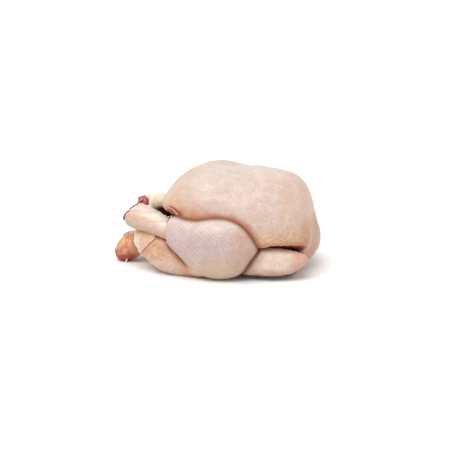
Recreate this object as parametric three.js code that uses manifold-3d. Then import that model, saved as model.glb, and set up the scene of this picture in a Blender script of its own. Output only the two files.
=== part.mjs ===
// A whole raw chicken, plucked and drawn, lying on its back with both legs folded along its sides.
//
// Millimetres. +X points to the neck end, +Z is up (the breast side), and the bird's left side is at -Y.
// The bird is one solid. Each region is a closed surface of its own, of one of two kinds:
//   blob()  an icosphere whose vertices slide along their rays to the skin of a few blended ellipsoids,
//   limb()  a sphere drawn out along a curve, with its own girth at each station.
// The regions of the trunk are joined, the body cavity is cut out of them from the vent, the limbs are
// joined on, and the underside is pressed flat where the bird rests.

import * as THREE from "three";
import { mergeVertices } from "three/addons/utils/BufferGeometryUtils.js";
import Module from "manifold-3d";

// Driving dimensions.
const BREAST_HEIGHT = 108; // keel above the surface the bird rests on
const BREAST_WIDTH = 140; // across both breast lobes
const LEG_WIDTH = 162; // across both drumsticks, the widest place
const NECK_REACH = 104; // neck end ahead of the frame's origin
const TAIL_REACH = 114; // tail tip behind it
const RIGHT_HOCK_DROP = 3; // the right hock lies lower than the left one
const BLEND = 14; // how far two masses of the torso flow into each other

// How finely the surfaces are worked out.
const RAY_STEPS = 48; // stations tried along a ray, from outside in
const RAY_START = 1.35; // where a ray starts, in half sizes of the blob's frame
const HALVINGS = 12; // halvings of the last step, once it has passed the skin
const SAME_PLACE = 1e-3; // vertices closer than this are one

const wasm = await Module();
wasm.setup();

const LEFT = -1;
const RIGHT = 1;

// The plane that each shank is cut off at, below the hock.
const HOCK_CUTS = {
  [LEFT]: { at: [-89.5, -29, 63.7], outward: [-0.7, -0.09, 0.71] },
  [RIGHT]: { at: [-86, 29, 58], outward: [-0.88, -0.35, 0.25] },
};
const degrees = THREE.MathUtils.degToRad;

// --- Soft masses and the surfaces drawn over them ---

// An ellipsoid of muscle or fat: where it lies, its half sizes, and its turns about X, Y and Z in degrees.
function mass(at, size, turns = [0, 0, 0]) {
  const turn = new THREE.Quaternion().setFromEuler(new THREE.Euler(...turns.map(degrees)));
  return { at: new THREE.Vector3(...at), size: new THREE.Vector3(...size), unturn: turn.invert() };
}

// The same mass on the other side of the body's middle plane.
function mirrored({ at, size, unturn }) {
  return {
    at: new THREE.Vector3(at.x, -at.y, at.z),
    size,
    unturn: new THREE.Quaternion(-unturn.x, unturn.y, -unturn.z, unturn.w),
  };
}

function onBothSides(masses) {
  return [...masses, ...masses.map(mirrored)];
}

// Roughly how far a point is outside a mass, negative inside it.
function depthOutside(point, { at, size, unturn }) {
  const local = point.clone().sub(at).applyQuaternion(unturn).divide(size);
  const reach = local.length();
  const slope = local.divide(size).length();
  return slope > 0 ? (reach * (reach - 1)) / slope : -Math.min(size.x, size.y, size.z);
}

function blended(a, b, softness) {
  const overlap = Math.max(softness - Math.abs(a - b), 0) / softness;
  return Math.min(a, b) - (overlap * overlap * softness) / 4;
}

// The rays leave the centre in the proportions of reach, which sets how evenly they spread over the skin.
function blob(centre, reach, masses, { detail, softness = BLEND }) {
  const middle = new THREE.Vector3(...centre);
  const halfSize = new THREE.Vector3(...reach);
  const outside = (point) =>
    masses.map((m) => depthOutside(point, m)).reduce((a, b) => blended(a, b, softness));
  const geometry = new THREE.IcosahedronGeometry(1, detail);
  const place = geometry.getAttribute("position");
  const ray = new THREE.Vector3();
  const at = (t) => ray.clone().multiplyScalar(t).add(middle);
  for (let i = 0; i < place.count; i++) {
    ray.fromBufferAttribute(place, i).multiply(halfSize);
    let out = RAY_START;
    while (out > 0 && outside(at(out)) > 0) out -= RAY_START / RAY_STEPS;
    let low = Math.max(out, 0);
    let high = low + RAY_START / RAY_STEPS;
    for (let halving = 0; halving < HALVINGS; halving++) {
      const half = (low + high) / 2;
      if (outside(at(half)) > 0) high = half;
      else low = half;
    }
    place.setXYZ(i, ...at(low).toArray());
  }
  return geometry;
}

// --- Limbs ---

// Stations are [x, y, z, half width, half height]: the width lies level, the height stands square to the limb.
// Both ends are round; a roundEnd below 1 makes the far end blunter.
function limb(stations, { sides = 20, rings = 18, roundEnd = 1 }) {
  const path = new THREE.CatmullRomCurve3(stations.map(([x, y, z]) => new THREE.Vector3(x, y, z)));
  const girth = new THREE.CatmullRomCurve3(stations.map(([, , , w, h]) => new THREE.Vector3(w, h, 0)));
  const geometry = new THREE.SphereGeometry(1, sides, rings);
  const place = geometry.getAttribute("position");
  const up = new THREE.Vector3(0, 0, 1);
  for (let i = 0; i < place.count; i++) {
    const x = place.getX(i);
    const z = place.getZ(i);
    const polar = Math.acos(THREE.MathUtils.clamp(place.getY(i), -1, 1));
    const along = (1 - Math.cos(polar)) / 2;
    const ring = Math.hypot(x, z);
    const roundness = along < 0.5 ? 1 : roundEnd;
    const fullness = ring > 1e-6 ? Math.pow(Math.sin(polar), roundness) / ring : 0;
    const { x: width, y: height } = girth.getPoint(along);
    const tangent = path.getTangent(along);
    const across = new THREE.Vector3().crossVectors(up, tangent).normalize();
    const raised = new THREE.Vector3().crossVectors(tangent, across);
    const point = path
      .getPoint(along)
      .addScaledVector(across, x * fullness * width)
      .addScaledVector(raised, z * fullness * height);
    place.setXYZ(i, point.x, point.y, point.z);
  }
  return geometry;
}

// A table of stations for one side of the bird: the values of y are distances from the middle plane.
function onSide(side, stations) {
  return stations.map(([x, y, ...rest]) => [x, side * y, ...rest]);
}

// --- Solids ---

// The closed surface as a solid, turned right side out where its faces point inwards.
function solid(geometry) {
  const bare = geometry.clone();
  bare.deleteAttribute("normal");
  bare.deleteAttribute("uv");
  const merged = mergeVertices(bare, SAME_PLACE);
  const vertProperties = merged.getAttribute("position").array;
  const triVerts = Uint32Array.from(merged.index.array);
  const made = new wasm.Manifold(new wasm.Mesh({ numProp: 3, vertProperties, triVerts }));
  if (made.volume() > 0) return made;
  return new wasm.Manifold(new wasm.Mesh({ numProp: 3, vertProperties, triVerts: triVerts.reverse() }));
}

function geometryOf(whole) {
  const { vertProperties, triVerts } = whole.getMesh();
  const geometry = new THREE.BufferGeometry();
  geometry.setAttribute("position", new THREE.BufferAttribute(vertProperties, 3));
  geometry.setIndex(new THREE.BufferAttribute(triVerts, 1));
  geometry.computeVertexNormals();
  return geometry;
}

// --- Regions of the bird ---

function torso() {
  const lobe = BREAST_WIDTH / 2;
  const masses = [
    mass([8, 0, 44], [84, 50, 46]), // ribs and back
    mass([38, -2, 57], [55, 58, BREAST_HEIGHT - 58]), // breast over the keel
    mass([4, -2, 61], [56, 27, BREAST_HEIGHT - 62]), // keel's ridge, running back to the vent
    mass([70, 0, 62], [24.5, 34, 34]), // crop
    mass([-22, 0, 70], [29, 30, 24]), // rear tip of the breast
    mass([76, 4, 31], [NECK_REACH - 76, 32, 27]), // folded skin over the neck
    mass([-36, 0, 28], [52, 40, 27], [0, 7, 0]), // pelvis
    ...onBothSides([
      mass([4, 30, 63], [54, lobe - 30, 42]), // breast lobes
      mass([62, 32, 52], [29, 28, 30]), // shoulders
      mass([34, 34, 60], [44, 32, 32]), // breast, between lobe and shoulder
      mass([50, 38, 44], [40, 24, 18], [0, 0, -6]), // breast's lower sides, over the wings
      mass([-30, 38, 22], [44, 24, 25], [0, 4, 0]), // flanks
      mass([-73, 18, 27], [14, 12, 16]), // folds of skin beside the vent
      mass([-62, 34, 31], [20, 12, 13]), // belly skin under the shanks
    ]),
  ];
  return blob([5, 0, 48], [108, 76, 60], masses, { detail: 13 });
}

function tail() {
  const masses = [
    mass([-TAIL_REACH + 16, 0, 16], [13, 15, 16], [0, 25, 0]),
    mass([-TAIL_REACH + 26, 0, 20], [14, 13, 12]),
    mass([-TAIL_REACH + 9, 3, 9], [9, 11, 9]),
  ];
  return blob([-TAIL_REACH + 18, 0, 15], [18, 19, 17], masses, { detail: 5, softness: 6 });
}

function cavity() {
  const masses = [
    mass([-5, 0, 44], [70, 28, 22]), // room
    mass([-62, 0, 50], [40, 34, 15]), // vent
    mass([-53, 0, 55], [38, 68, 11.5]), // slit under the breast's hem, from leg to leg
  ];
  return blob([-38, 0, 49], [80, 66, 24], masses, { detail: 9, softness: 3 });
}

function leg(side) {
  const outer = LEG_WIDTH / 2;
  const masses = [
    mass([-4, outer - 25, 43], [42, 25, 22], [0, 0, 4]), // drumstick
    mass([-26, outer - 28, 44], [21, 18, 18]), // its narrow end, under the edge of the skin
    mass([13, outer - 23, 42], [29, 23, 23], [0, 18, -4]), // knee
    mass([27, outer - 23, 37], [20, 15, 13], [0, 18, -4]), // kneecap
    mass([0, outer - 27, 22], [34, 23, 24]), // thigh
    mass([-14, outer - 26, 31], [27, 20, 22], [0, 20, 0]), // back of the thigh
  ];
  const own = side === RIGHT ? masses : masses.map(mirrored);
  return blob([2, side * (outer - 26), 36], [50, 26, 36], own, { detail: 7, softness: 8 });
}

function shank(side) {
  const drop = side === RIGHT ? RIGHT_HOCK_DROP : 0;
  const stations = onSide(side, [
    [-24, 54, 43, 12, 12],
    [-50, 47, 48, 12, 12],
    [-68, 38, 53.5, 13, 13],
    [-98, 25, 62 - drop, 13, 13],
  ]);
  const { at, outward } = HOCK_CUTS[side];
  const normal = new THREE.Vector3(...outward).normalize().negate();
  const whole = solid(limb(stations, { roundEnd: 0.5 }));
  return whole.trimByPlane(normal.toArray(), normal.dot(new THREE.Vector3(...at)));
}

function wing(side) {
  const forearm = onSide(side, [
    [-6, 55, 19, 10, 14],
    [36, 54, 19, 10, 14],
    [62, 53, 18, 10, 14],
    [94, 46, 16.5, 8, 9.5],
  ]);
  const upperArm = onSide(side, [
    [34, 50, 20, 10, 12],
    [58, 46, 30, 12, 13],
    [84, 38, 42, 13, 14],
  ]);
  const tip = onSide(side, [
    [88, 45, 15, 7, 8],
    [80, 30, 10, 8, 8],
    [60, 14, 7, 8, 7],
  ]);
  return [
    limb(forearm, { roundEnd: 0.7 }),
    limb(upperArm, { sides: 16, rings: 12 }),
    limb(tip, { sides: 14, rings: 12 }),
  ];
}

// Everything below the surface that the bird rests on.
function underside() {
  const side = 4 * TAIL_REACH;
  const depth = BREAST_HEIGHT / 2;
  return new THREE.BoxGeometry(side, side, depth).translate(0, 0, -depth / 2);
}

function joined(solids) {
  return solids.reduce((whole, next) => whole.add(next));
}

function chicken() {
  const trunk = joined([torso(), tail()].map(solid)).subtract(solid(cavity()));
  const limbs = [LEFT, RIGHT].flatMap((side) => [
    solid(leg(side)),
    shank(side),
    ...wing(side).map(solid),
  ]);
  return geometryOf(joined([trunk, ...limbs]).subtract(solid(underside())));
}

const skin = new THREE.MeshStandardMaterial({ color: 0xe9c8b0, roughness: 0.42, metalness: 0 });
const bird = new THREE.Mesh(chicken(), skin);
bird.name = "chicken";

// The origin is under the middle of the bird's box, on the surface it rests on.
bird.geometry.computeBoundingBox();
const middle = bird.geometry.boundingBox.getCenter(new THREE.Vector3());
bird.position.set(-middle.x, -middle.y, -bird.geometry.boundingBox.min.z);

const part = new THREE.Group();
part.add(bird);
export default part;
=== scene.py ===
"""A whole raw chicken on its back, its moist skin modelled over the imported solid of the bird.

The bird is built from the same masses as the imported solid, as one field of distances, in which the limbs
press into the trunk along folds. A fine mesh is drawn through the field. The skin is then shaped along its
normals with soft unevenness and rows of feather follicles, and painted by how far each point is from each
form. Smaller parts have meshes of their own: the cut ends of the hocks, the lip of the vent, a flap of belly
skin, torn shreds of skin and the stubs of feathers.

The bird's lengths are in millimetres, up to where Shape.piece makes a mesh in metres. It lies on its back,
with its tail at -X, its neck end at +X and its left side at -Y.
"""

import math

import bpy
import numpy as np
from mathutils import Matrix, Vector, noise


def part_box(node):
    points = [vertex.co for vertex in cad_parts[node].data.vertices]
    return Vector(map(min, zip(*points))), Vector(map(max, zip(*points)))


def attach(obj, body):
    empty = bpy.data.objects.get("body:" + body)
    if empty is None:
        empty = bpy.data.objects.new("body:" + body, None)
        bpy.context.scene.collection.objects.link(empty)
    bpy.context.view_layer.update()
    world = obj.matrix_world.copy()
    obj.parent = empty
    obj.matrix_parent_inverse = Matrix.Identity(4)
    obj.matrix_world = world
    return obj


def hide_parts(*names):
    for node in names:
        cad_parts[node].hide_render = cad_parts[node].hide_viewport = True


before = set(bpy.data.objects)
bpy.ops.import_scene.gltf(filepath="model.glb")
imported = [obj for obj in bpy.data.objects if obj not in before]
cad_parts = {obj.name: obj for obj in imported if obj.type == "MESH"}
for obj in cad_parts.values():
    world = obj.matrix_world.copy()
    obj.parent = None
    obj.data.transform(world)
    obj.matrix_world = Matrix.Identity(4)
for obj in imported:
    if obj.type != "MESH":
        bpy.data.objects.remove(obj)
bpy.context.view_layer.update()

MM = 0.001
SKIN_GRAIN = 1.36  # between the points of the skin's mesh
FINE_GRAIN = 0.6  # and of most smaller parts
SEED = 7

# The tables of masses count from a point this far from the frame's origin.
SHIFT = np.array([5.09, 0.0, 0.0])


# --- Fields: about how far points are outside a form, in mm, negative inside ---

def smoothstep(low, high, value):
    t = np.clip((value - low) / (high - low), 0.0, 1.0)
    return t * t * (3.0 - 2.0 * t)


def rotation(turns):
    """The matrix of turns in degrees, about X, then about the turned Y, then about the turned Z."""
    a, b, c = (math.radians(t) for t in turns)
    about_x = np.array([[1, 0, 0], [0, math.cos(a), -math.sin(a)], [0, math.sin(a), math.cos(a)]])
    about_y = np.array([[math.cos(b), 0, math.sin(b)], [0, 1, 0], [-math.sin(b), 0, math.cos(b)]])
    about_z = np.array([[math.cos(c), -math.sin(c), 0], [math.sin(c), math.cos(c), 0], [0, 0, 1]])
    return about_x @ about_y @ about_z


def out_of_round(local, size):
    """The distance outside a round form from the offsets to its middle and its half sizes there."""
    unit = local / size
    reach = np.linalg.norm(unit, axis=1)
    slope = np.linalg.norm(unit / size, axis=1) + 1e-9
    return reach * (reach - 1.0) / slope


def mass(points, centre, size, turns=(0, 0, 0)):
    return out_of_round((points - np.array(centre)) @ rotation(turns), np.array(size, float))


def blended(fields, softness):
    """The union of the forms, flowing into each other over the softness."""
    whole = fields[0]
    for field in fields[1:]:
        overlap = np.maximum(softness - np.abs(whole - field), 0) / softness
        whole = np.minimum(whole, field) - overlap * overlap * softness / 4
    return whole


def cut(field, tool, softness):
    """What is in the form and not in the tool, with a soft edge."""
    return -blended([-field, tool], softness)


def masses(points, table, softness):
    return blended([mass(points, *row) for row in table], softness)


def curve(stations, count):
    """Points of a smooth curve through the stations, evenly by station."""
    stations = np.array(stations, float)
    padded = np.vstack([2 * stations[0] - stations[1], stations, 2 * stations[-1] - stations[-2]])
    made = []
    for t in np.linspace(0, len(stations) - 1, count):
        k = min(int(t), len(stations) - 2)
        u = t - k
        a, b, c, d = padded[k:k + 4]
        cubic = 3 * b - a - 3 * c + d
        made.append(0.5 * (2 * b + (c - a) * u + (2 * a - 5 * b + 4 * c - d) * u * u + cubic * u ** 3))
    return np.array(made)


def limb(points, stations, count=9):
    """A tube along the stations [x, y, z, half width, half height]; the width is level."""
    line = curve(stations, count)
    best = np.full(len(points), 1e9)
    for start, end in zip(line, line[1:]):
        way = end[:3] - start[:3]
        t = np.clip(((points - start[:3]) @ way) / (way @ way), 0.0, 1.0)[:, None]
        off = points - (start[:3] + t * way)
        girth = start[3:] + t * (end[3:] - start[3:])
        level = np.hypot(off[:, 0], off[:, 1])
        best = np.minimum(best, out_of_round(np.stack([level, off[:, 2]], axis=1), girth))
    return best


def from_line(points, line):
    """Each point's distance to a chain of straight stretches."""
    line = np.array(line, float)
    best = np.full(len(points), 1e9)
    for start, end in zip(line, line[1:]):
        way = end - start
        t = np.clip(((points - start) @ way) / (way @ way), 0.0, 1.0)[:, None]
        best = np.minimum(best, np.linalg.norm(points - (start + t * way), axis=1))
    return best


def plane(points, at, normal):
    normal = np.array(normal, float)
    return (points - np.array(at)) @ (normal / np.linalg.norm(normal))


def yielding(form, pressing, depth, reach):
    """The form where it gives way to another that presses on it."""
    return form + depth * np.exp(-((np.maximum(pressing, 0) / reach) ** 2))


def creased(first, second, depth, width, softness=0.01):
    """The union of two forms that press on each other, parted by a groove."""
    return blended([first, second], softness) + depth * np.exp(-(((first - second) / width) ** 2))


# --- The bird's masses: middle, half sizes and turns. Those of the sides and limbs are the right side's. ---

TORSO = [
    ((8, 0, 44), (84, 50, 46)),  # ribs and back
    ((38, -2, 57), (55, 58, 49.5)),  # breast over the keel
    ((-12, -2, 61.5), (39, 26, 46.5)),  # keel's ridge, running back to the vent
    ((69.5, 0, 64), (24, 36, 33)),  # crop
    ((-22, 0, 70), (29, 30, 24)),  # rear tip of the breast
    ((76, 4, 31), (28, 32, 27)),  # folded skin over the neck
    ((-36, 0, 28), (52, 40, 27), (0, 7, 0)),  # pelvis
]
TORSO_SIDES = [
    ((-3, 30, 63.6), (49, 40, 42.4)),  # breast lobes
    ((62, 32, 52), (29, 28, 30)),  # shoulders
    ((34, 34, 60), (44, 32, 32)),  # breast, between lobe and shoulder
    ((50, 38, 44), (40, 24, 18), (0, 0, -6)),  # breast's lower sides, over the wings
    ((-30, 39.5, 21.5), (44, 24, 25), (0, 4, 0)),  # flanks
    ((-67, 18, 27), (13, 12, 15)),  # folds of skin beside the vent
    ((-62, 34, 31), (20, 12, 13)),  # belly skin under the shanks
    ((66, 20, 38), (24, 16, 20)),  # skin between the shoulders and the neck
]
TORSO_BLEND = 14
TAIL = [
    ((-98.8, 0, 15.5), (12, 15, 15.5), (0, 22, 0)),
    ((-90, 0, 20), (14, 13, 12)),
    ((-106, 2, 9), (9, 11, 9)),
]
CAVITY = [
    ((-5, 0, 44), (70, 28, 22)),  # room
    ((-62, 0, 50), (40, 34, 15)),  # vent
    ((-53, 0, 53.5), (38, 66, 11.5)),  # slit under the breast's hem, from leg to leg
]
LEG = [
    ((-4, 56, 43), (42, 25, 22), (0, 0, 4)),  # drumstick
    ((-26, 53, 44), (21, 18, 18)),  # its narrow end
    ((-34, 51, 48), (24, 15, 12.5)),  # sleeve of skin over the shank
    ((13, 58, 42), (29, 23, 23), (0, 18, -4)),  # knee
    ((27, 58, 37), (20, 15, 13), (0, 18, -4)),  # kneecap
    ((6, 58, 24), (34, 20, 23)),  # thigh
    ((-13, 55, 32), (28, 20, 19), (0, 24, 0)),  # back of the thigh
]

# Limbs, as stations of [x, y, z, half width, half height]
LEFT, RIGHT = -1, 1  # the sign of each side's y
SHANKS = {
    LEFT: [
        (-24, -54, 43, 12, 12), (-50, -47, 48, 11, 11), (-68, -38, 53.5, 13, 12.5),
        (-84, -31, 56.5, 13, 13.8), (-97, -26, 58, 12, 13),
    ],
    RIGHT: [(-24, 54, 43, 12, 12), (-50, 47, 49, 12, 12), (-68, 38, 54, 13, 13), (-86, 28, 56, 12, 12)],
}
FOREARM = [
    (-6, 55, 19, 10, 14), (36, 54, 19, 10, 14.5), (60, 53, 18.8, 10, 14.8), (76, 49.5, 19, 10, 13),
    (86, 46.5, 21, 9, 8.6),
]
UPPER_ARM = [(34, 50, 20, 10, 12), (58, 46, 30, 12, 13), (84, 38, 42, 13, 14)]
WING_TIP = [(78, 41, 11, 7, 8), (75, 28, 10, 8, 8), (60, 14, 7, 8, 7)]

# Cuts, as a point of the plane and the direction of what is cut away
LEG_HEM = ((-48.5, 0, 0), (-1, 0, 0.06))  # where the drumstick's skin ends
HOCK_CUTS = {LEFT: ((-89.6, -29, 64.2), (-0.70, 0.05, 0.71)), RIGHT: ((-86, 29, 58), (-0.88, -0.35, 0.25))}
HEEL_CUT = ((-94, -29, 50), (-0.93, 0.28, -0.24))  # the left hock's end, below its cut
CUT_ROUNDING = 0.02  # how fast a cut end rounds off away from its middle, for each mm
NOTCH = 1.5  # depth and half width of the notch in the middle of a cut end

# The cut face of the breast's skin, which stands over the vent, in the frame
HEM_BACK = -58.0  # its x over the keel, at the height below
HEM_HEIGHT = 69.0
HEM_BEND = 131.0  # it comes forward by y * y / this to the sides
HEM_LEAN = 0.27  # and by this for each mm down
HEM_SLOPE = 1.07  # the square of how fast the field of that face grows over the keel
HEM_TURN = 63.0  # the y at which that square has grown by 1
HEM_FLOOR = 52.0  # the height down to which it is cut
HEM_SIDE = 65.0  # and how far out

# Depth and width of the grooves between forms that press on each other
TAIL_GROOVE = (2.0, 2.2)
SHANK_GROOVE = (0.8, 1.2)
WING_GROOVE = (1.1, 1.6)


def folded(points, side):
    """The points mirrored onto one side of the bird, LEFT or RIGHT."""
    return np.stack([points[:, 0], side * np.abs(points[:, 1]), points[:, 2]], axis=1)


def beyond_cut(p, side):
    """How far points of the masses' frame are beyond the notched cut end of a side's shank."""
    at, normal = HOCK_CUTS[side]
    along = (p - np.array(at)) @ np.array([normal[2], 0, -normal[0]])
    return plane(p, at, normal) + CUT_ROUNDING * along ** 2 + NOTCH * np.exp(-(along / NOTCH) ** 2)


def without_heel(shank, p):
    """The left shank's field at points of the masses' frame, with the end of its hock cut off."""
    return cut(shank, -plane(p, *HEEL_CUT), softness=6)


def hem_at(y, z):
    """The x of the hem's cut face at each y and z."""
    return y * y / HEM_BEND + HEM_BACK + HEM_LEAN * (HEM_HEIGHT - z)


def below_hem(points):
    """The space below and behind the hem of the breast's skin, over the vent."""
    x, y, z = points.T
    behind = (x - hem_at(y, z)) / np.sqrt(HEM_SLOPE + (y / HEM_TURN) ** 2)
    return np.maximum(np.maximum(behind, HEM_FLOOR - z), np.abs(y) - HEM_SIDE)


def forms(points):
    """The separate forms of the bird at points of the frame."""
    p = points - SHIFT
    flipped = p * np.array([1, -1, 1])
    side = folded(p, RIGHT)
    trunk = [mass(p, *row) for row in TORSO]
    for row in TORSO_SIDES:
        trunk += [mass(p, *row), mass(flipped, *row)]
    left = cut(limb(p, SHANKS[LEFT]), -beyond_cut(p, LEFT), softness=1.5)
    right = cut(limb(p, SHANKS[RIGHT]), -beyond_cut(p, RIGHT), softness=1.5)
    return dict(
        torso=blended(trunk, TORSO_BLEND),
        tail=masses(p, TAIL, softness=6),
        hollow=np.minimum(masses(p, CAVITY, softness=3), below_hem(points)),
        leg=cut(masses(side, LEG, softness=8), -plane(side, *LEG_HEM), softness=2),
        shank=np.minimum(without_heel(left, p), right),
        wing=blended([limb(side, FOREARM), limb(side, WING_TIP)], softness=4),
        tip=limb(side, WING_TIP),
        arm=limb(side, UPPER_ARM),
    )


def held_apart(x, z, low=5, back=-10):
    """How far trunk and leg are separate forms, 0 to 1. They flow together low behind the thigh."""
    return np.maximum(smoothstep(low, 17, z), smoothstep(back, 8, x))


def wing_room(x, y):
    """How far the trunk stays off the wing, over the gap between them. Below 0, the wing sinks into it."""
    out = np.abs(y)
    height = 6.6 - 1.6 * smoothstep(68, 88, x)
    under_breast = smoothstep(44, 66, x) * smoothstep(101, 80, x)
    return height * under_breast * smoothstep(40, 54, out) - 2.5 * smoothstep(50, 40, out)


def bird(points):
    """The whole bird's distance field, and those of its forms."""
    f = forms(points)
    x, y, z = points.T
    apart = held_apart(x, z)
    trunk = blended([f["torso"], f["arm"]], softness=6)
    trunk = cut(trunk, f["hollow"], softness=2)
    trunk = creased(trunk, f["tail"], *TAIL_GROOVE)
    trunk = yielding(trunk, f["leg"], depth=1.6 * apart, reach=6)
    trunk = yielding(trunk, f["wing"], depth=1.2, reach=4)
    trunk = cut(trunk, f["wing"] - wing_room(x, y), softness=2.5)
    trunk = yielding(trunk, f["shank"], depth=1.0, reach=4)
    wing = yielding(f["wing"], f["leg"], depth=1.2, reach=4)
    whole = blended([trunk, f["leg"]], softness=0.8 + 14 * (1 - apart))
    whole = creased(whole, f["shank"], *SHANK_GROOVE)
    whole = creased(whole, wing, *WING_GROOVE, softness=2)
    whole = np.maximum(whole, -z)
    return whole, dict(f, trunk=trunk)


# --- Drawing a mesh through a field ---

CORNERS = np.array([(i, j, k) for i in (0, 1) for j in (0, 1) for k in (0, 1)])
EDGES = [(a, b) for a in range(8) for b in range(a + 1, 8) if np.abs(CORNERS[a] - CORNERS[b]).sum() == 1]


def in_blocks(field, points, size=20000):
    return np.concatenate([field(points[k:k + size]) for k in range(0, len(points), size)])


def sampled(field, low, high, grain):
    """The field on a grid. Each halving of the step works out only the points near the surface again."""
    step = 4
    near = 5.0  # steps
    count = [int(math.ceil((b - a) / grain / step)) * step + 1 for a, b in zip(low, high)]
    axes = [a + grain * np.arange(n) for a, n in zip(low, count)]
    thin = np.stack(np.meshgrid(*(axis[::step] for axis in axes), indexing="ij"), axis=-1)
    values = in_blocks(field, thin.reshape(-1, 3)).reshape(thin.shape[:3])
    while step > 1:
        step //= 2
        finer = [axis[::step] for axis in axes]
        values = values[np.ix_(*(np.arange(len(axis)) // 2 for axis in finer))]
        where = np.argwhere(np.abs(values) < near * step * grain)
        close = np.stack([finer[i][where[:, i]] for i in range(3)], axis=1)
        values[tuple(where.T)] = in_blocks(field, close)
    return values


def surface(field, low, high, grain):
    """The points and four-sided faces of the surface where the field is zero."""
    low = np.array(low, float)
    values = sampled(field, low, high, grain)
    inside = values < 0
    size = np.array(values.shape) - 1
    blocks = [inside[i:i + size[0], j:j + size[1], k:k + size[2]] for i, j, k in CORNERS]
    full = sum(block.astype(int) for block in blocks)
    cells = np.argwhere((full > 0) & (full < 8))
    number = np.full(size, -1)
    number[tuple(cells.T)] = np.arange(len(cells))
    at_corner = np.stack([values[tuple((cells + corner).T)] for corner in CORNERS], axis=1)
    total = np.zeros((len(cells), 3))
    crossings = np.zeros(len(cells))
    for a, b in EDGES:
        first, second = at_corner[:, a], at_corner[:, b]
        crossed = (first < 0) != (second < 0)
        t = np.where(crossed, first / np.where(crossed, first - second, 1), 0)
        total += crossed[:, None] * (CORNERS[a] + t[:, None] * (CORNERS[b] - CORNERS[a]))
        crossings += crossed
    points = low + grain * (cells + total / crossings[:, None])
    faces = []
    for axis in range(3):
        u, v = np.eye(3, dtype=int)[(axis + 1) % 3], np.eye(3, dtype=int)[(axis + 2) % 3]
        start = inside[:size[0], :size[1], :size[2]]
        end = np.roll(inside, -1, axis)[:size[0], :size[1], :size[2]]
        for way in (True, False):
            edges = np.argwhere((start != end) & (start == way))
            edges = edges[((edges * u).sum(1) > 0) & ((edges * v).sum(1) > 0)]
            ring = [edges - u - v, edges - v, edges, edges - u]
            quad = np.stack([number[tuple(cell.T)] for cell in ring], axis=1)
            faces.append(quad if way else quad[:, ::-1])
    faces = np.concatenate(faces)
    return points, faces[(faces >= 0).all(axis=1)]


class Shape:
    """A mesh as arrays: points in mm, faces, and each point's neighbours."""

    def __init__(self, field, low, high, grain):
        self.field = field
        self.points, self.faces = surface(field, low, high, grain)
        pairs = np.concatenate([self.faces[:, [k, (k + 1) % 4]] for k in range(4)])
        self.near = np.concatenate([pairs[:, 0], pairs[:, 1]])
        self.far = np.concatenate([pairs[:, 1], pairs[:, 0]])
        self.degree = np.maximum(np.bincount(self.near, minlength=len(self.points)), 1).astype(float)
        self.settle(grain, passes=2)

    def neighbours(self, values):
        """The mean of each point's neighbours."""
        if values.ndim == 1:
            return np.bincount(self.near, weights=values[self.far], minlength=len(self.degree)) / self.degree
        return np.stack([self.neighbours(values[:, k]) for k in range(values.shape[1])], axis=1)

    def settle(self, grain, passes):
        """Evens the mesh out and brings it back onto the field's surface."""
        step = 0.25 * grain
        longest = 0.6 * grain
        for _ in range(passes):
            self.points = self.points + 0.5 * (self.neighbours(self.points) - self.points)
            slope = np.stack([
                (self.field(self.points + step * e) - self.field(self.points - step * e)) / (2 * step)
                for e in np.eye(3)
            ], axis=1)
            steepness = np.maximum((slope ** 2).sum(axis=1), 0.25)
            move = -(self.field(self.points) / steepness)[:, None] * slope
            length = np.linalg.norm(move, axis=1, keepdims=True)
            self.points = self.points + move * np.minimum(1, longest / np.maximum(length, 1e-9))

    def normals(self):
        count = len(self.points)
        a, b, c, d = (self.points[self.faces[:, k]] for k in range(4))
        across = np.cross(c - a, d - b)
        total = np.stack([
            sum(np.bincount(self.faces[:, k], weights=across[:, i], minlength=count) for k in range(4))
            for i in range(3)
        ], axis=1)
        return total / np.maximum(np.linalg.norm(total, axis=1, keepdims=True), 1e-12)

    def push(self, amount):
        """Moves each point out along its normal."""
        self.points = self.points + self.normals() * np.asarray(amount)[:, None]

    def piece(self, name, material, tint, masks=None):
        """The Blender object, with its colours and masks as attributes of the vertices.

        Nothing of it goes below the table, at z = 0.
        """
        mesh = bpy.data.meshes.new(name)
        on_table = np.maximum(self.points, [-np.inf, -np.inf, 0.0])
        mesh.vertices.add(len(self.points))
        mesh.vertices.foreach_set("co", (on_table * MM).ravel())
        mesh.loops.add(self.faces.size)
        mesh.loops.foreach_set("vertex_index", self.faces.ravel())
        mesh.polygons.add(len(self.faces))
        mesh.polygons.foreach_set("loop_start", np.arange(len(self.faces)) * 4)
        mesh.polygons.foreach_set("use_smooth", [True] * len(self.faces))
        mesh.update(calc_edges=True)
        mesh.validate()
        colours = np.concatenate([np.clip(tint, 0.0, 1.0), np.ones((len(tint), 1))], axis=1)
        mesh.attributes.new("tint", "FLOAT_COLOR", "POINT").data.foreach_set("color", colours.ravel())
        for mask, values in (masks or {}).items():
            mesh.attributes.new(mask, "FLOAT", "POINT").data.foreach_set("value", values)
        mesh.materials.append(material)
        made = bpy.data.objects.new(name, mesh)
        bpy.context.collection.objects.link(made)
        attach(made, "root")
        return made


def soft_noise(points, size, seed=0):
    """Perlin noise, about -1 to 1. size is its grain, or three numbers where it is stretched.

    Each use has a seed of its own, so that no two patterns follow each other.
    """
    scaled = points / np.array(size, float) + 31.7 * (seed + 1)
    return np.array([noise.noise(p) for p in scaled.tolist()])


class Paint:
    """The colours of a surface, as light it gives back, laid on coat by coat."""

    def __init__(self, ground, count):
        self.colours = np.tile(np.array(ground, float), (count, 1))

    def coat(self, colour, share):
        share = np.clip(share, 0.0, 1.0)[:, None]
        self.colours = self.colours + share * (np.array(colour) - self.colours)


# --- The skin: its colours ---

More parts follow.
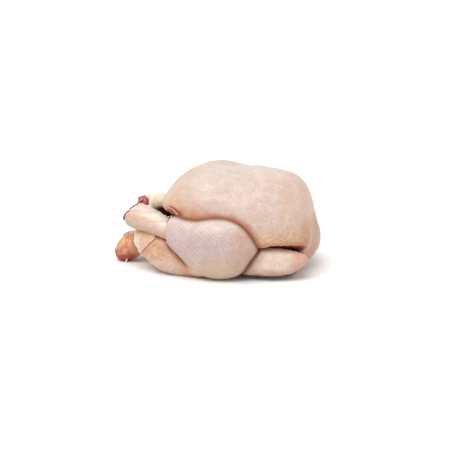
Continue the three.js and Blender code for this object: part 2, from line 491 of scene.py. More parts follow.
BREAST = (0.540, 0.405, 0.348)
BREAST_LIT = (0.585, 0.487, 0.428)
BREAST_PINK = (0.528, 0.388, 0.350)
# Painted shade on the far breast lobe, beyond the keel.
FAR_LOBE_SHADE = (0.520, 0.378, 0.325)
BREAST_REAR = (0.555, 0.395, 0.300)
BREAST_LOW = (0.560, 0.365, 0.235)
BREAST_FRONT = (0.562, 0.398, 0.312)
HEM_SKIN = (0.600, 0.375, 0.215)
NECK_SKIN = (0.475, 0.275, 0.180)
# Painted shade: orange-brown beside the leg and over the wing, reddish by the knee, dark in creases and the
# gap.
SHADE_BY_THE_LEG = (0.480, 0.210, 0.105)
SHADE_BY_THE_KNEE = (0.520, 0.205, 0.125)
CREASE_SHADE = (0.200, 0.055, 0.025)
GAP_SHADE = (0.150, 0.034, 0.018)
FLANK = (0.530, 0.290, 0.175)
FLANK_FAT = (0.600, 0.430, 0.270)
BELLY = (0.605, 0.450, 0.372)
TAIL_SKIN = (0.560, 0.250, 0.125)
TAIL_LIT = (0.690, 0.380, 0.185)
TAIL_DARK = (0.430, 0.130, 0.070)
# Raw dark red meat under the tail, also laid as painted shade in the crease at its root.
TAIL_MEAT_AND_SHADE = (0.330, 0.036, 0.026)
LAVENDER = (0.480, 0.358, 0.342)
DRUM_LIT = (0.555, 0.455, 0.415)
THIGH_FAT = (0.530, 0.385, 0.275)
KNEE = (0.492, 0.322, 0.252)
SHANK = (0.620, 0.540, 0.465)
# Painted light: the right shank, paler and yellower than the left, as if more lit.
SHANK_FAR_LIT = (0.780, 0.660, 0.490)
SHANK_LOW = (0.565, 0.350, 0.250)
# Painted shade, olive, under the shanks.
SHANK_SHADE = (0.430, 0.370, 0.230)
SHANK_STREAK = (0.560, 0.390, 0.390)
WING = (0.630, 0.497, 0.408)
# Painted shade on the wing, by the leg and along its bottom.
WING_SHADE = (0.420, 0.285, 0.200)
WING_OCHRE = (0.600, 0.410, 0.265)
WING_END = (0.520, 0.290, 0.230)
# Painted shade, dark red, under the wing and on its tucked tip.
WING_UNDER_SHADE = (0.240, 0.090, 0.065)
INNER_SKIN = (0.290, 0.066, 0.030)
# Dark red flesh of the cavity, darkened further as painted shade.
CAVITY_FLESH_AND_SHADE = (0.085, 0.008, 0.005)
CUT_RIM = (0.110, 0.065, 0.060)
CARTILAGE = (0.600, 0.480, 0.380)


# --- The skin: its regions and relief ---

FRINGE = 0.6  # how wide the change of colour is between two forms that press on each other
LOOSE_FRINGE = 8.0  # and how much wider where they flow together

# Feather follicles: how far apart they are, their half width, and what their distance is multiplied by along
# and across their rows, which makes them long or round.
LONG_FOLLICLES = dict(spacing=4.6, width=1.4, stretch=(0.62, 1.28))
ROUND_FOLLICLES = dict(spacing=3.6, width=1.2, stretch=(1.0, 1.0))  # on the tail
FOLLICLE_TURN = math.radians(28)
FOLLICLE_STRAY = 0.22  # how far they lie from their even places, as a share of the spacing
# Painted highlight and shade: the follicles' tops are painted paler and the skin between them darker, by
# these shares.
FOLLICLE_LIGHT_AND_SHADE = np.array([0.38, 0.58, 0.75])  # how much paler they are, in red, green and blue
ROW_PITCH = 0.866  # between the rows of an even lattice, as a share of the spacing

PATTERN_AXIS = 42.0  # height of the line along the body that the skin's patterns go round
PATTERN_GIRTH = 68.0  # how far off that line they lie
LINE_SPACING = 3.5  # between the pale lines on the drumstick


WAVES = [  # region, height in mm, grain and seed of each unevenness of the skin
    ("outside", 0.7, 26, 1),
    ("outside", 0.35, 11, 2),
    ("body", 0.18, (34, 7, 7), 3),
    ("wing", 0.4, (22, 5, 4.5), 4),
    ("shank", 0.75, (16, 5, 5), 5),
    ("flank", 0.6, (16, 9, 6), 6),
    ("flank", 0.45, 4.5, 10),
    ("tail", 1.6, 6, 7),
    ("tail", 0.5, 3.4, 11),
    ("hollow", 0.6, 8, 8),
]
KEEL_GROOVE = (1.3, 4.5, 7.0)  # depth, width and y of the groove beside the keel
RIBS = (0.7, 0.62)  # their height in the cavity, and how fast they follow each other, in radians for each mm


def make_skin(material):
    """The skin of the whole bird, in place of its solid."""
    margin = 3 * SKIN_GRAIN
    low, high = (np.array(corner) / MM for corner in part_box("chicken"))
    shape = Shape(lambda p: bird(p)[0], low - margin, high + margin, SKIN_GRAIN)
    p = shape.points
    _, f = bird(p)
    r = regions_of(p, f)

    shape.push(waves(p, f, r))
    pimple = follicles(p, **LONG_FOLLICLES)
    pimple += r["tail"] * (follicles(p, **ROUND_FOLLICLES) - pimple)
    shape.push(follicle_height(p, r) * (pimple - 0.3))

    # Painted highlight and shade on the follicles of the low breast and the flank: paler tops, darker skin
    # between.
    rows = np.clip(r["low_breast"] * r["body"] * (0.75 + 0.9 * soft_noise(p, 7, 25)), 0, 1)
    follicle_light = (rows + 0.4 * r["flank"]) * (pimple - 0.5)
    tint = painted(p, f, r, pimple) * (1 + follicle_light[:, None] * FOLLICLE_LIGHT_AND_SHADE)
    skin = shape.piece("chicken_skin", material, tint, skin_masks(p, f, r))
    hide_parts("chicken")


def regions_of(p, f):
    """How far each point belongs to each region of the bird, 0 to 1."""
    x, y, z = p.T
    inside = smoothstep(0.0, -0.7, f["torso"]) * smoothstep(-94, -84, x)
    hollow = smoothstep(2.9, 1.8, np.abs(f["hollow"])) * inside
    nearest = np.minimum(np.minimum(f["leg"], f["shank"]), f["wing"])
    fringe = FRINGE + LOOSE_FRINGE * (1 - held_apart(x, z))
    limbs = smoothstep(-1, 1, (f["trunk"] - nearest) / fringe)
    leg = limbs * (f["leg"] <= nearest)
    shank = limbs * (f["shank"] <= nearest) * (1 - leg)
    wing = limbs * (f["wing"] <= nearest) * (1 - leg) * (1 - shank)
    hollow *= 1 - limbs
    trunk = (1 - limbs) * (1 - hollow)
    tail = trunk * smoothstep(1.0, -1.0, f["tail"] - f["torso"])
    flank = (trunk - tail) * smoothstep(-18, -36, x) * smoothstep(52, 40, z)
    low_breast = smoothstep(62, 42, z) * smoothstep(-34, -52, -np.abs(y)) * smoothstep(34, 52, x)
    return dict(
        hollow=hollow, outside=1 - hollow, leg=leg, shank=shank, wing=wing, tail=tail, flank=flank,
        body=trunk - tail - flank, low_breast=low_breast,
    )


def waves(p, f, r):
    """How far the soft skin stands out from the plain form at each point."""
    x, y, z = p.T
    push = sum(r[region] * height * soft_noise(p, grain, seed) for region, height, grain, seed in WAVES)
    depth, width, middle = KEEL_GROOVE
    beside_keel = np.exp(-((y - middle) / width) ** 2) * smoothstep(78, 88, z) * smoothstep(16, 0, x)
    push -= r["body"] * depth * beside_keel
    push += r["hollow"] * RIBS[0] * np.sin(x * RIBS[1])
    on_table = np.minimum(1, 0.2 + z / 6)
    by_hem = np.exp(-((np.abs(f["torso"]) + np.abs(f["hollow"])) / 6) ** 2)
    return push * on_table * (1 - 0.85 * by_hem)


def follicle_height(p, r):
    """How far the follicles stand out at each point."""
    height = 0.4 * r["flank"] + 1.0 * r["tail"] + 0.14 * r["wing"] + 0.12 * r["leg"]
    height += r["body"] * (0.05 + 0.7 * r["low_breast"])
    return height * (0.75 + 0.5 * soft_noise(p, 18, 9))


def around_body(p):
    """How far round the body each point lies, from 0 at the keel."""
    return np.arctan2(p[:, 1], p[:, 2] - PATTERN_AXIS) * PATTERN_GIRTH


def follicles(p, spacing, width, stretch):
    """How near each point is to a follicle, 0 to 1. They form a slightly irregular lattice round the body."""
    around = around_body(p)
    cos, sin = math.cos(FOLLICLE_TURN), math.sin(FOLLICLE_TURN)
    u = (p[:, 0] * cos + around * sin) / spacing
    v = (around * cos - p[:, 0] * sin) / (spacing * ROW_PITCH)
    nearest = np.full(len(p), 1e9)
    for row_step in (-1, 0, 1):
        row = np.floor(v) + row_step
        offset = 0.5 * np.mod(row, 2)
        for column_step in (-1, 0, 1):
            column = np.floor(u - offset) + column_step
            scattered = np.sin(row * 78.233 + column * 12.9898 + SEED) * 43758.5453
            along = (column + offset + 0.5 + FOLLICLE_STRAY * np.sin(scattered) - u) * spacing
            across = (row + 0.5 + FOLLICLE_STRAY * np.cos(scattered * 1.7) - v) * spacing * ROW_PITCH
            nearest = np.minimum(nearest, np.hypot(stretch[0] * along, stretch[1] * across))
    return np.exp(-(nearest / width) ** 2)


def in_gap(p, f, r):
    """How far each point is in the deep gap between the breast and the wing, where its shade is painted."""
    x, y, z = p.T
    out = np.abs(y)
    ceiling = r["body"] * smoothstep(8.0, 5.0, f["wing"]) * smoothstep(62, 56, out)
    floor = r["wing"] * smoothstep(51, 47, out) * smoothstep(8, 4, f["trunk"])
    return (ceiling + floor) * over_wing(x) * smoothstep(22, 26, z) * smoothstep(44, 38, z)


def over_wing(x):
    """How far x lies along the gap over the wing, 0 to 1."""
    return smoothstep(46, 60, x) * smoothstep(103, 92, x)


# --- The skin: painting ---
#
# Each coat is laid as strongly as its factors say. They change between two heights, places or distances from
# a form, in mm, or between two values of a noise.

def painted(p, f, r, pimple):
    """The skin's colours. pimple is how near each point is to a follicle, 0 to 1."""
    blotch = soft_noise(p, 15, 21)
    patch = soft_noise(p, 7, 22)
    paint = Paint(BREAST, len(p))
    paint_breast(paint, p, f, r, blotch, patch)
    paint_flank(paint, p, f, r["flank"], blotch, patch)
    paint_tail(paint, p, r["tail"], pimple, blotch, patch)
    paint.coat(leg_colours(p, blotch, patch), r["leg"])
    paint.coat(shank_colours(p, patch), r["shank"])
    paint.coat(wing_colours(p, f, patch), r["wing"])
    paint_folds(paint, p, f, r)
    paint.coat(INNER_SKIN, r["hollow"])
    # Painted shade: the flesh deeper in the cavity is painted darker, down to nearly black.
    paint.coat(CAVITY_FLESH_AND_SHADE, r["hollow"] * smoothstep(3.0, 7.5, -f["torso"] + 2 * patch))
    return paint.colours


def paint_breast(paint, p, f, r, blotch, patch):
    """The breast: painted light on its top and keel, warmer to the rear and front, painted shade by the
    limbs.
    """
    x, y, z = p.T
    streak = soft_noise(p, (30, 3.5, 3.5), 23)
    upright = soft_noise(p, (4, 9, 22), 24)

    paint.coat(BREAST_PINK, 0.9 * smoothstep(-0.15, 0.35, blotch) * smoothstep(90, 70, z))
    paint.coat(BREAST_LIT, smoothstep(86, 102, z + 5 * blotch) * 0.75)
    paint.coat(BREAST_LIT, 0.5 * smoothstep(0.05, 0.4, streak) * smoothstep(60, 80, z))
    paint.coat(BREAST_LIT, 0.4 * smoothstep(0.1, 0.4, upright) * smoothstep(10, 30, x))
    keel = np.exp(-((y + 8) / 9) ** 2)
    paint.coat(BREAST_LIT, 0.7 * keel * smoothstep(72, 88, z))
    # Painted shade: the far lobe, beyond the keel, is painted darker and greyer.
    paint.coat(FAR_LOBE_SHADE, 0.7 * smoothstep(2, 10, y) * smoothstep(74, 88, z) * smoothstep(30, 5, x))

    paint.coat(BREAST_REAR, smoothstep(-2, -36, x + 8 * blotch))
    paint.coat(BREAST_FRONT, smoothstep(62, 86, x + 6 * blotch) * 0.9)
    paint.coat(BREAST_LOW, r["low_breast"] * (0.95 + 0.3 * patch))
    paint.coat(BREAST_LOW, 0.8 * smoothstep(80, 64, z + 3 * patch) * smoothstep(-10, -28, x))
    paint.coat(HEM_SKIN, 0.75 * smoothstep(9, 0, f["hollow"]) * smoothstep(-20, -40, x))
    paint.coat(NECK_SKIN, smoothstep(86, 98, x) * smoothstep(66, 54, z))

    # Painted shade: orange-brown on the breast beside the leg, reaching furthest toward the rear.
    reach = 20 - 12 * smoothstep(-10, 12, x)
    paint.coat(SHADE_BY_THE_LEG, smoothstep(1, 0, (f["leg"] + 4 * patch) / reach))
    # Painted shade, reddish, on the breast beside the knee.
    paint.coat(SHADE_BY_THE_KNEE, 0.8 * smoothstep(10, 1, f["leg"] + 2 * patch) * smoothstep(26, 38, x))
    # Painted shade on the breast just over the wing.
    paint.coat(SHADE_BY_THE_LEG, 0.75 * smoothstep(9, 0, f["wing"]) * r["body"])


def paint_flank(paint, p, f, flank, blotch, patch):
    """The flank and the belly's skin, below the leg and the shank."""
    z = p[:, 2]
    paint.coat(FLANK, flank)
    paint.coat(FLANK_FAT, flank * 0.6 * smoothstep(0.05, 0.4, patch))
    paint.coat(BELLY, flank * smoothstep(24, 8, z + 8 * blotch + 3 * patch) * 0.9)
    # Painted shade on the flank beside the leg.
    paint.coat(SHADE_BY_THE_LEG, flank * smoothstep(7, 0, f["leg"]) * smoothstep(10, 22, z) * 0.85)


def paint_tail(paint, p, tail, pimple, blotch, patch):
    """The tail: orange, with painted highlights on its follicles and in patches, and raw below."""
    x, _, z = p.T
    lit = 0.9 * smoothstep(0.35, 0.9, pimple) + 0.8 * smoothstep(0.1, 0.5, patch)
    paint.coat(TAIL_SKIN, tail)
    paint.coat(TAIL_LIT, tail * np.clip(lit, 0, 0.9))
    paint.coat(TAIL_DARK, tail * 0.7 * smoothstep(0.0, -0.5, patch + 0.4 * blotch))
    paint.coat(TAIL_MEAT_AND_SHADE, tail * smoothstep(17, 7, z + 6 * patch + 0.25 * (x + 100)))


def leg_colours(p, blotch, patch):
    """The drumstick and the thigh."""
    x, _, z = p.T
    paint = Paint(LAVENDER, len(p))
    paint.coat(DRUM_LIT, smoothstep(50, 62, z + 3 * patch))
    paint.coat(THIGH_FAT, smoothstep(34, 14, z + 6 * blotch))
    paint.coat(KNEE, smoothstep(18, 38, x + 5 * blotch) * smoothstep(60, 48, z))
    paint.coat(BELLY, smoothstep(16, 4, z) * smoothstep(6, -14, x) * 0.8)
    return paint.colours


def shank_colours(p, patch):
    """The bare shanks: the left streaked, the right painted paler as if lit, and painted shade below and at
    the vent.
    """
    x, y, z = p.T
    streak = from_line(p, [(-79, -44, 54), (-55, -55, 51)])
    ends = [np.where(y * side > 0, beyond_cut(p - SHIFT, side), -99) for side in (LEFT, RIGHT)]
    right = smoothstep(4, 12, y)
    facing_vent = right * smoothstep(1, -5, y - 62 - 0.42 * x)

    paint = Paint(SHANK, len(p))
    paint.coat(SHANK_LOW, smoothstep(54, 43, z + 0.35 * (x + 43) + 2 * patch))
    paint.coat(SHANK_LOW, 0.55 * smoothstep(0.05, 0.4, soft_noise(p, (14, 4, 3), 26)))
    paint.coat(SHANK_STREAK, smoothstep(3.6, 0.8, streak + patch) * 0.6)
    # Painted shade, olive, under the left shank toward its end.
    paint.coat(SHANK_SHADE, smoothstep(-70, -83, x + 4 * patch) * smoothstep(58, 48, z) * 0.9)
    paint.coat(CARTILAGE, smoothstep(-1.6, -0.6, np.maximum(*ends)))
    # Painted light: the right shank is painted paler and yellower, as if more lit.
    paint.coat(SHANK_FAR_LIT, right)
    # Painted shade where the right shank faces the vent: olive, then the cavity's dark red.
    paint.coat(SHANK_SHADE, facing_vent * smoothstep(58, 51, z) * 0.7)
    # There the cavity's dark red flesh is laid as painted shade.
    paint.coat(CAVITY_FLESH_AND_SHADE, facing_vent * smoothstep(57, 52, z + patch) * smoothstep(-75, -64, x))
    return paint.colours


def wing_colours(p, f, patch):
    """The wing: streaked, painted shade by the leg and below, pink at its end, dark red painted shade
    underneath.
    """
    x, _, z = p.T
    under_shade = np.maximum(smoothstep(9, 3, z + 2 * patch), smoothstep(2.0, 0.4, f["tip"]))
    paint = Paint(WING, len(p))
    paint.coat(WING_OCHRE, 0.8 * smoothstep(0.0, 0.4, soft_noise(p, (18, 5, 4), 27)))
    # Painted shade by the leg and along the wing's bottom.
    paint.coat(WING_SHADE, smoothstep(13, 2, f["leg"] + 3 * patch) * 0.8)
    paint.coat(WING_SHADE, smoothstep(16, 6, z + 3 * patch) * 0.8)
    paint.coat(WING_END, smoothstep(80, 92, x + 4 * patch) * 0.85)
    # Painted shade, dark red, under the wing and on its tucked tip.
    paint.coat(WING_UNDER_SHADE, under_shade)
    return paint.colours


def paint_folds(paint, p, f, r):
    """Painted shade in the creases between the forms, in the gap over the wing and at the tail's root."""
    x, _, z = p.T

    def crease(first, second, width):
        """How near the points are to both forms, 0 to 1."""
        return np.exp(-(np.maximum(np.maximum(first, second), 0) / width) ** 2)

    apart = held_apart(x, z, low=6, back=-6)
    # Painted shade: dark lines in the creases where the leg, the wing and the shanks meet the trunk.
    paint.coat(CREASE_SHADE, apart * crease(np.minimum(f["trunk"], f["wing"]), f["leg"], 2.4))
    paint.coat(CREASE_SHADE, 0.9 * crease(f["trunk"], f["wing"], 1.2))
    paint.coat(CREASE_SHADE, 0.9 * crease(np.minimum(f["trunk"], f["leg"]), f["shank"], 1.0))
    # Painted shade: orange-brown on the breast's low edge just over the gap.
    paint.coat(SHADE_BY_THE_LEG, r["body"] * smoothstep(14, 8, f["wing"]) * over_wing(x))
    # Painted shade: nearly black deep in the gap between the breast and the wing.
    paint.coat(GAP_SHADE, in_gap(p, f, r))
    # Painted shade: the crease at the tail's root, in the raw meat's dark red.
    root = crease(f["torso"], f["tail"], 5.5)
    paint.coat(TAIL_MEAT_AND_SHADE, root * smoothstep(-70, -80, x) * smoothstep(36, 28, z))


def skin_masks(p, f, r):
    """What the skin's shader needs to know at each point besides its colour."""
    x, _, z = p.T
    around = around_body(p)
    waver = 0.45 * soft_noise(p, 9, 31)
    falling, rising = math.radians(35), math.radians(50)
    drum = r["leg"] * smoothstep(20, 30, z) * smoothstep(50, 34, x)
    return dict(
        row_a=(x * math.sin(falling) + around * math.cos(falling)) / LINE_SPACING + waver,
        row_b=(x * math.sin(rising) - around * math.cos(rising)) / LINE_SPACING - waver,
        rows=np.clip(drum * (0.5 + 0.5 * soft_noise(p, 7, 32) + 0.5 * soft_noise(p, 3, 33)), 0, 1),
        wet=np.clip(r["hollow"] + 0.5 * r["tail"], 0, 1),
        shade=in_gap(p, f, r),
    )


# --- Smaller parts ---

def make_part(name, field, box, grain, material, tint):
    """A small part with a mesh of its own, within the box. tint gives the colours of its points."""
    low, high = (np.array(corner, float) for corner in box)
    shape = Shape(field, low, high, grain)
    shape.piece(name, material, tint(shape.points))


def rough(points, size, amount, seed):
    """The unevenness of a small part, up to about the amount in mm."""
    return amount * soft_noise(points, size, seed)


FAR_HOCK = [
    ((-85.5, 29, 60.5), (5.5, 6.5, 3.8), (0, 10, 0)),
    ((-81.0, 28, 58.0), (4.5, 6.0, 4.0), (0, -20, 0)),
    ((-88.0, 28, 58.0), (3.0, 6.0, 2.6)),
    ((-84.0, 31, 62.2), (2.6, 3.0, 2.2)),
    ((-78.5, 28, 56.0), (2.4, 4.5, 3.0)),
]
TENDON = (0.520, 0.160, 0.130)
FLESH = (0.360, 0.030, 0.026)
FLESH_DARK = (0.160, 0.012, 0.010)


def make_far_hock(material):
    """The torn wet flesh at the end of the right shank."""
    def field(p):
        return masses(p, FAR_HOCK, softness=2) + rough(p, 2.6, 0.7, 41)

    def tint(p):
        paint = Paint(FLESH, len(p))
        paint.coat(FLESH_DARK, smoothstep(0.0, 0.5, soft_noise(p, 3.0, 42)))
        paint.coat(TENDON, smoothstep(0.25, 0.5, soft_noise(p, (3.5, 2.0, 2.0), 43)))
        return paint.colours

    make_part("hock_flesh", field, ((-94, 19, 50), (-72, 39, 69)), FINE_GRAIN, material, tint)


CUT_RIM_GREY = (0.240, 0.150, 0.120)
CUT_RIM_GIRTH = 0.65  # half the thickness of the rim


def make_near_hock(material):
    """The dark edge of skin round the cut end of the left shank."""
    def field(p):
        q = p - SHIFT
        ring = np.hypot(without_heel(limb(q, SHANKS[LEFT]), q) + 0.5, beyond_cut(q, LEFT) + 0.4)
        thicker_below = 0.5 * smoothstep(64, 54, p[:, 2])
        return ring - CUT_RIM_GIRTH - thicker_below - rough(p, 4, 0.45, 44)

    def tint(p):
        paint = Paint(CUT_RIM, len(p))
        paint.coat(CUT_RIM_GREY, smoothstep(0.0, 0.4, soft_noise(p, 2.5, 45)))
        return paint.colours

    make_part("hock_rim", field, ((-102, -48, 44), (-66, -12, 80)), FINE_GRAIN, material, tint)


LIP = (0.640, 0.360, 0.230)
LIP_PINK = (0.620, 0.360, 0.230)
LIP_GIRTH = 0.6  # half its thickness


def hem_rim():
    """Points along the rim of the hem's cut face, on the bird's left, from beside the keel to the leg."""
    heights = np.linspace(82, 52, 121)
    rim = []
    for out in np.linspace(26, 60, 13):
        face = np.stack([hem_at(out, heights), np.full(len(heights), out), heights], axis=1)
        first = np.argmax(forms(face)["torso"] < -0.4)
        rim.append(face[first] * np.array([1, -1, 1]))
    return rim


def make_vent_lip(material):
    """The pale cut edge of the breast's skin, over the vent."""
    rim = hem_rim()

    def field(p):
        side = folded(p, LEFT)
        out = -side[:, 1]
        thick = LIP_GIRTH * smoothstep(25, 46, out) * smoothstep(64, 58, out)
        return from_line(side, rim) - thick - rough(p, 5, 0.2, 49)

    def tint(p):
        paint = Paint(LIP, len(p))
        paint.coat(LIP_PINK, 0.5 * smoothstep(0.0, 0.4, soft_noise(p, 5, 50)))
        return paint.colours

    make_part("vent_lip", field, ((-64, -70, 52), (-10, 70, 78)), FINE_GRAIN, material, tint)


SHRED_LINE = [(-47.5, -44.5, 60.5), (-42, -47, 60.6), (-35.5, -49, 60.8)]
SHRED = (0.660, 0.480, 0.420)
SHRED_RED = (0.550, 0.300, 0.240)
THREAD_GRAIN = 0.5  # between the points of the shreds and the stubs


def make_shreds(material):
    """Torn ends of thin skin along the top of the left shank."""
    rng = np.random.default_rng(SEED)
    shreds = []
    for root in curve(SHRED_LINE, 9):
        middle = root + rng.normal(0, 0.5, 3)
        size = (rng.uniform(0.5, 1.1), 0.8, rng.uniform(0.5, 1.0))
        shreds.append((middle, size, (0, rng.uniform(-60, 60), 0)))

    def field(p):
        return masses(p, shreds, softness=0.4) + rough(p, 1.6, 0.2, 51)

    def tint(p):
        paint = Paint(SHRED, len(p))
        paint.coat(SHRED_RED, smoothstep(0.1, 0.5, soft_noise(p, 2, 52)))
        return paint.colours

    make_part("torn_skin", field, ((-53, -53, 54), (-30, -39, 67)), THREAD_GRAIN, material, tint)


# The outline of the flap in the bird's left side, as [x, z].
FLAP = [
    (-81.9, 38.5), (-81.2, 29.3), (-75.5, 23.5), (-74.8, 18.4), (-72.2, 18.6), (-69.7, 22.3),
    (-63.6, 29.2), (-54.8, 38.2), (-58.0, 52.0), (-76.0, 52.0),
]
FLAP_GIRTH = 0.7  # half its thickness
FLAP_BULGE = ((-73, -18, 27), (14, 12, 16))  # the belly that it is drawn over
FLAP_CREAM = (0.650, 0.550, 0.430)
FLAP_PEACH = (0.610, 0.370, 0.260)
# Painted shadow, yellowish, of the shank on the flap's top.
FLAP_SHADOW = (0.540, 0.390, 0.190)


def outside_outline(p, outline):
    """How far points are outside an outline of [x, z], negative inside it."""
    xz = p[:, [0, 2]]
    nearest = np.full(len(p), 1e9)
    within = np.zeros(len(p), bool)
    for start, end in zip(outline, outline[1:] + outline[:1]):
        start, end = np.array(start), np.array(end)
        way = end - start
        t = np.clip(((xz - start) @ way) / (way @ way), 0, 1)[:, None]
        nearest = np.minimum(nearest, np.linalg.norm(xz - start - t * way, axis=1))
        crosses = (start[1] > xz[:, 1]) != (end[1] > xz[:, 1])
        at = start[0] + (xz[:, 1] - start[1]) / (way[1] if way[1] else 1e-9) * way[0]
        within ^= crosses & (xz[:, 0] < at)
    return np.where(within, -nearest, nearest)


def make_flap(material):
    """A loose flap of belly skin that lies over the left flank, below the shank."""
    def field(p):
        belly = blended([bird(p)[1]["trunk"], mass(p - SHIFT, *FLAP_BULGE)], TORSO_BLEND)
        outline = outside_outline(p, FLAP) + rough(p, 3.5, 0.7, 53)
        shell = np.abs(belly - 0.5 - rough(p, 8, 0.4, 54)) - FLAP_GIRTH
        near_side = p[:, 1] + 20
        return np.maximum(cut(shell, -outline, softness=0.8), near_side)

    def tint(p):
        paint = Paint(FLAP_PEACH, len(p))
        edge = outside_outline(p, FLAP)
        paint.coat(FLAP_CREAM, smoothstep(-70, -76, p[:, 0] + 3 * soft_noise(p, 6, 55)))
        # Painted shadow of the shank along the flap's top.
        paint.coat(FLAP_SHADOW, smoothstep(33, 43, p[:, 2]))
        paint.coat(FLAP_CREAM, 0.6 * smoothstep(-2.2, -0.6, edge) * smoothstep(-68, -74, p[:, 0]))
        return paint.colours

    make_part("belly_flap", field, ((-86, -58, 14), (-50, -10, 54)), FINE_GRAIN, material, tint)


STUBS = [  # from, to, half thickness and colour of each feather stub
    ((-93.2, -7.5, 8.0), (-95.8, -11.0, 0.6), 0.85, (0.72, 0.68, 0.60)),
    ((-93.4, -4.0, 28.0), (-94.0, -4.3, 30.2), 0.6, (0.22, 0.21, 0.16)),
    ((-87.0, -6.0, 28.6), (-86.8, -6.6, 30.6), 0.6, (0.22, 0.21, 0.15)),
    ((-99.0, -3.0, 28.0), (-100.2, -3.4, 29.4), 0.6, (0.30, 0.26, 0.19)),
]


def make_stubs(material):
    """Stubs of feathers that were left in the tail."""
    lines = [(start, end) for start, end, _, _ in STUBS]

    def field(p):
        return np.min([from_line(p, line) - row[2] for line, row in zip(lines, STUBS)], axis=0)

    def tint(p):
        nearest = np.argmin([from_line(p, line) for line in lines], axis=0)
        return np.array([row[3] for row in STUBS])[nearest]

    make_part("feather_stubs", field, ((-104, -16, -1), (-84, 0, 37)), THREAD_GRAIN, material, tint)


# --- Materials ---

class Nodes:
    """Short names for the shader nodes of one material."""

    def __init__(self, name):
        self.material = bpy.data.materials.new(name)
        self.material.use_nodes = True
        self.tree = self.material.node_tree
        self.shader = self.tree.nodes["Principled BSDF"]
        self.place = self.tree.nodes.new("ShaderNodeTexCoord").outputs["Object"]

    def link(self, value, socket):
        if isinstance(value, bpy.types.NodeSocket):
            self.tree.links.new(value, socket)
        elif isinstance(value, tuple):
            socket.default_value = (*value, 1.0)[:4] if socket.type == "RGBA" else value
        else:
            socket.default_value = value

    def attribute(self, name, output="Fac"):
        node = self.tree.nodes.new("ShaderNodeAttribute")
        node.attribute_name = name
        return node.outputs[output]

    def colour(self, factor, first, second, blend="MIX"):
        node = self.tree.nodes.new("ShaderNodeMix")
        node.data_type = "RGBA"
        node.blend_type = blend
        self.link(factor, node.inputs[0])
        self.link(first, node.inputs[6])
        self.link(second, node.inputs[7])
        return node.outputs[2]

    def maths(self, operation, first, second=0.5):
        node = self.tree.nodes.new("ShaderNodeMath")
        node.operation = operation
        self.link(first, node.inputs[0])
        self.link(second, node.inputs[1])
        return node.outputs[0]

    def stretched(self, scale):
        node = self.tree.nodes.new("ShaderNodeMapping")
        self.link(self.place, node.inputs["Vector"])
        node.inputs["Scale"].default_value = scale
        return node.outputs[0]

    def noise(self, grain, detail=3.0, stretch=None, spread=None):
        """Noise with the given grain in mm, about 0 to 1; spread gives the two values that become 0 and 1."""
        node = self.tree.nodes.new("ShaderNodeTexNoise")
        node.inputs["Scale"].default_value = 1.0 / (grain * MM)
        node.inputs["Detail"].default_value = detail
        self.link(self.stretched(stretch) if stretch else self.place, node.inputs["Vector"])
        if spread is None:
            return node.outputs[0]
        return self.between(node.outputs[0], *spread)

    def between(self, value, low, high):
        node = self.tree.nodes.new("ShaderNodeMapRange")
        self.link(value, node.inputs["Value"])
        node.inputs["From Min"].default_value = low
        node.inputs["From Max"].default_value = high
        return node.outputs[0]

    def row_lines(self, name):
        """Lines where the attribute passes a whole number."""
        wave = self.maths("SINE", self.maths("MULTIPLY", self.attribute(name), math.pi))
        return self.between(self.maths("ABSOLUTE", wave), 0.8, 0.0)

    def bump(self, height, depth, strength=1.0, under=None):
        """A bump that stands depth mm proud where the height is 1. under is a bump that it lies on."""
        node = self.tree.nodes.new("ShaderNodeBump")
        node.inputs["Strength"].default_value = strength
        node.inputs["Distance"].default_value = depth * MM
        self.link(height, node.inputs["Height"])
        if under is not None:
            self.link(under, node.inputs["Normal"])
        return node.outputs[0]

    def set(self, **values):
        for name, value in values.items():
            self.link(value, self.shader.inputs[name.replace("_", " ").title().replace("Ior", "IOR")])
        return self.material


MOTTLE = ((0.950, 0.920, 0.905), (1.035, 1.050, 1.055))  # what the skin's colour is multiplied by
SPECKLE = ((0.900, 0.860, 0.840), (1.060, 1.090, 1.100))
ROW_TINT = (1.160, 1.200, 1.200)
FLESH_SPECKLE = ((0.850, 0.800, 0.800), (1.100, 1.100, 1.100))
FLOOR_TINTS = ((0.870, 0.870, 0.870), (0.890, 0.890, 0.890))


def skin_material():
    """Moist skin: mottled and finely speckled, wrinkled, with pale crossing lines on the drumstick."""
    n = Nodes("chicken_skin")
    mottle = n.noise(9, 3.0, spread=(0.35, 0.68))
    fine = n.noise(1.9, 4.0, spread=(0.3, 0.7))
    lines = n.maths("MAXIMUM", n.row_lines("row_a"), n.row_lines("row_b"))
    rows = n.maths("MULTIPLY", lines, n.attribute("rows"))
    colour = n.attribute("tint", "Color")
    colour = n.colour(1.0, colour, n.colour(mottle, *MOTTLE), "MULTIPLY")
    colour = n.colour(1.0, colour, n.colour(fine, *SPECKLE), "MULTIPLY")
    colour = n.colour(rows, colour, n.colour(1.0, colour, ROW_TINT, "MULTIPLY"))

    wrinkle = n.noise(1.2, 5.0, stretch=(0.5, 1.0, 1.0))
    relief = n.bump(rows, 0.30, 0.8)
    relief = n.bump(wrinkle, 0.35, 0.6, under=relief)
    dry = n.maths("ADD", n.maths("MULTIPLY", fine, 0.16), 0.36)
    wet = n.maths("MULTIPLY", n.attribute("wet"), 0.2)
    shaded = n.maths("MULTIPLY", n.attribute("shade"), 0.42)
    return n.set(
        base_color=colour,
        roughness=n.maths("SUBTRACT", dry, wet),
        normal=relief,
        subsurface_weight=0.12,
        subsurface_radius=(1.0, 0.42, 0.25),
        subsurface_scale=0.003,
        coat_weight=0.15,
        coat_roughness=0.28,
        specular_ior_level=n.maths("SUBTRACT", 0.45, shaded),
    )


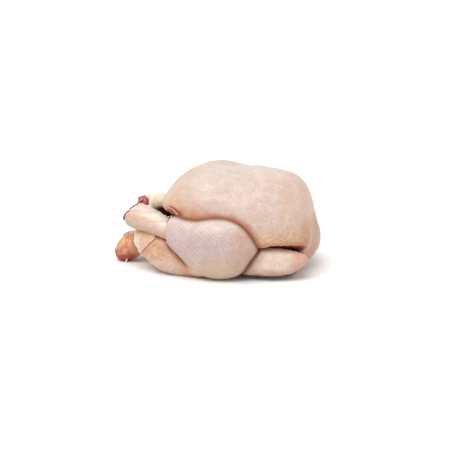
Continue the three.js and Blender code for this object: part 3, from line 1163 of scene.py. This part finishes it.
def wet_material():
    """Raw wet flesh and torn skin."""
    n = Nodes("wet_flesh")
    fine = n.noise(1.4, 4.0, spread=(0.3, 0.7))
    return n.set(
        base_color=n.colour(1.0, n.attribute("tint", "Color"), n.colour(fine, *FLESH_SPECKLE), "MULTIPLY"),
        roughness=n.maths("ADD", n.maths("MULTIPLY", fine, 0.15), 0.18),
        normal=n.bump(n.noise(1.0, 4.0), 0.4, 0.6),
        subsurface_weight=0.1,
        subsurface_radius=(1.0, 0.25, 0.2),
        subsurface_scale=0.002,
        coat_weight=0.5,
        coat_roughness=0.1,
    )


def floor_material():
    """A white floor with a faint grain."""
    n = Nodes("white_floor")
    grain = n.noise(60, 2.0, spread=(0.3, 0.7))
    return n.set(base_color=n.colour(grain, *FLOOR_TINTS), roughness=0.6)


# --- Stage ---

CAMERA_TURN = 9.0  # degrees round the bird, towards its neck end
CAMERA_RISE = 13.0
CAMERA_AWAY = 1.1  # metres
LENS = 83.8
SENSOR = 36.0
LENS_SHIFT = (0.0173, -0.0164)  # puts the bird where the photograph's frame has it
LOOK_AT = Vector((0.0009, 0.0, 0.050))

SUN_TOWARDS = (-0.2, -0.5, 1.0)
SUN_STRENGTH = 2.05
SUN_WIDTH = 45.0  # degrees across, which makes it a soft light
WORLD_STRENGTH = 0.93
FLOOR_HALF = 40.0  # metres, so that its edge is never seen


def make_camera():
    turn, rise = math.radians(CAMERA_TURN), math.radians(CAMERA_RISE)
    sight = Vector((-math.sin(turn) * math.cos(rise), math.cos(turn) * math.cos(rise), -math.sin(rise)))
    data = bpy.data.cameras.new("camera")
    data.lens = LENS
    data.sensor_width = SENSOR
    data.shift_x, data.shift_y = LENS_SHIFT
    camera = bpy.data.objects.new("camera", data)
    camera.location = LOOK_AT - sight * CAMERA_AWAY
    camera.rotation_euler = sight.to_track_quat("-Z", "Y").to_euler()
    bpy.context.collection.objects.link(camera)
    bpy.context.scene.camera = camera


def make_floor():
    mesh = bpy.data.meshes.new("floor")
    corners = [(x * FLOOR_HALF, y * FLOOR_HALF, 0) for x, y in ((-1, -1), (1, -1), (1, 1), (-1, 1))]
    mesh.from_pydata(corners, [], [(0, 1, 2, 3)])
    mesh.materials.append(floor_material())
    floor = bpy.data.objects.new("floor", mesh)
    bpy.context.collection.objects.link(floor)


def make_lights():
    """A distant soft light, so that the whole floor is lit alike, and an even white world round it."""
    data = bpy.data.lights.new("sky", "SUN")
    data.energy = SUN_STRENGTH
    data.angle = math.radians(SUN_WIDTH)
    sun = bpy.data.objects.new("sky", data)
    sun.rotation_euler = Vector(SUN_TOWARDS).to_track_quat("Z", "Y").to_euler()
    bpy.context.collection.objects.link(sun)
    world = bpy.data.worlds.new("studio")
    world.use_nodes = True
    background = world.node_tree.nodes["Background"]
    background.inputs["Color"].default_value = (1, 1, 1, 1)
    background.inputs["Strength"].default_value = WORLD_STRENGTH
    bpy.context.scene.world = world
    bpy.context.scene.view_settings.view_transform = "Standard"


skin, wet = skin_material(), wet_material()
make_camera()
make_skin(skin)
make_far_hock(wet)
make_near_hock(wet)
make_vent_lip(skin)
make_shreds(wet)
make_flap(skin)
make_stubs(skin)
make_floor()
make_lights()
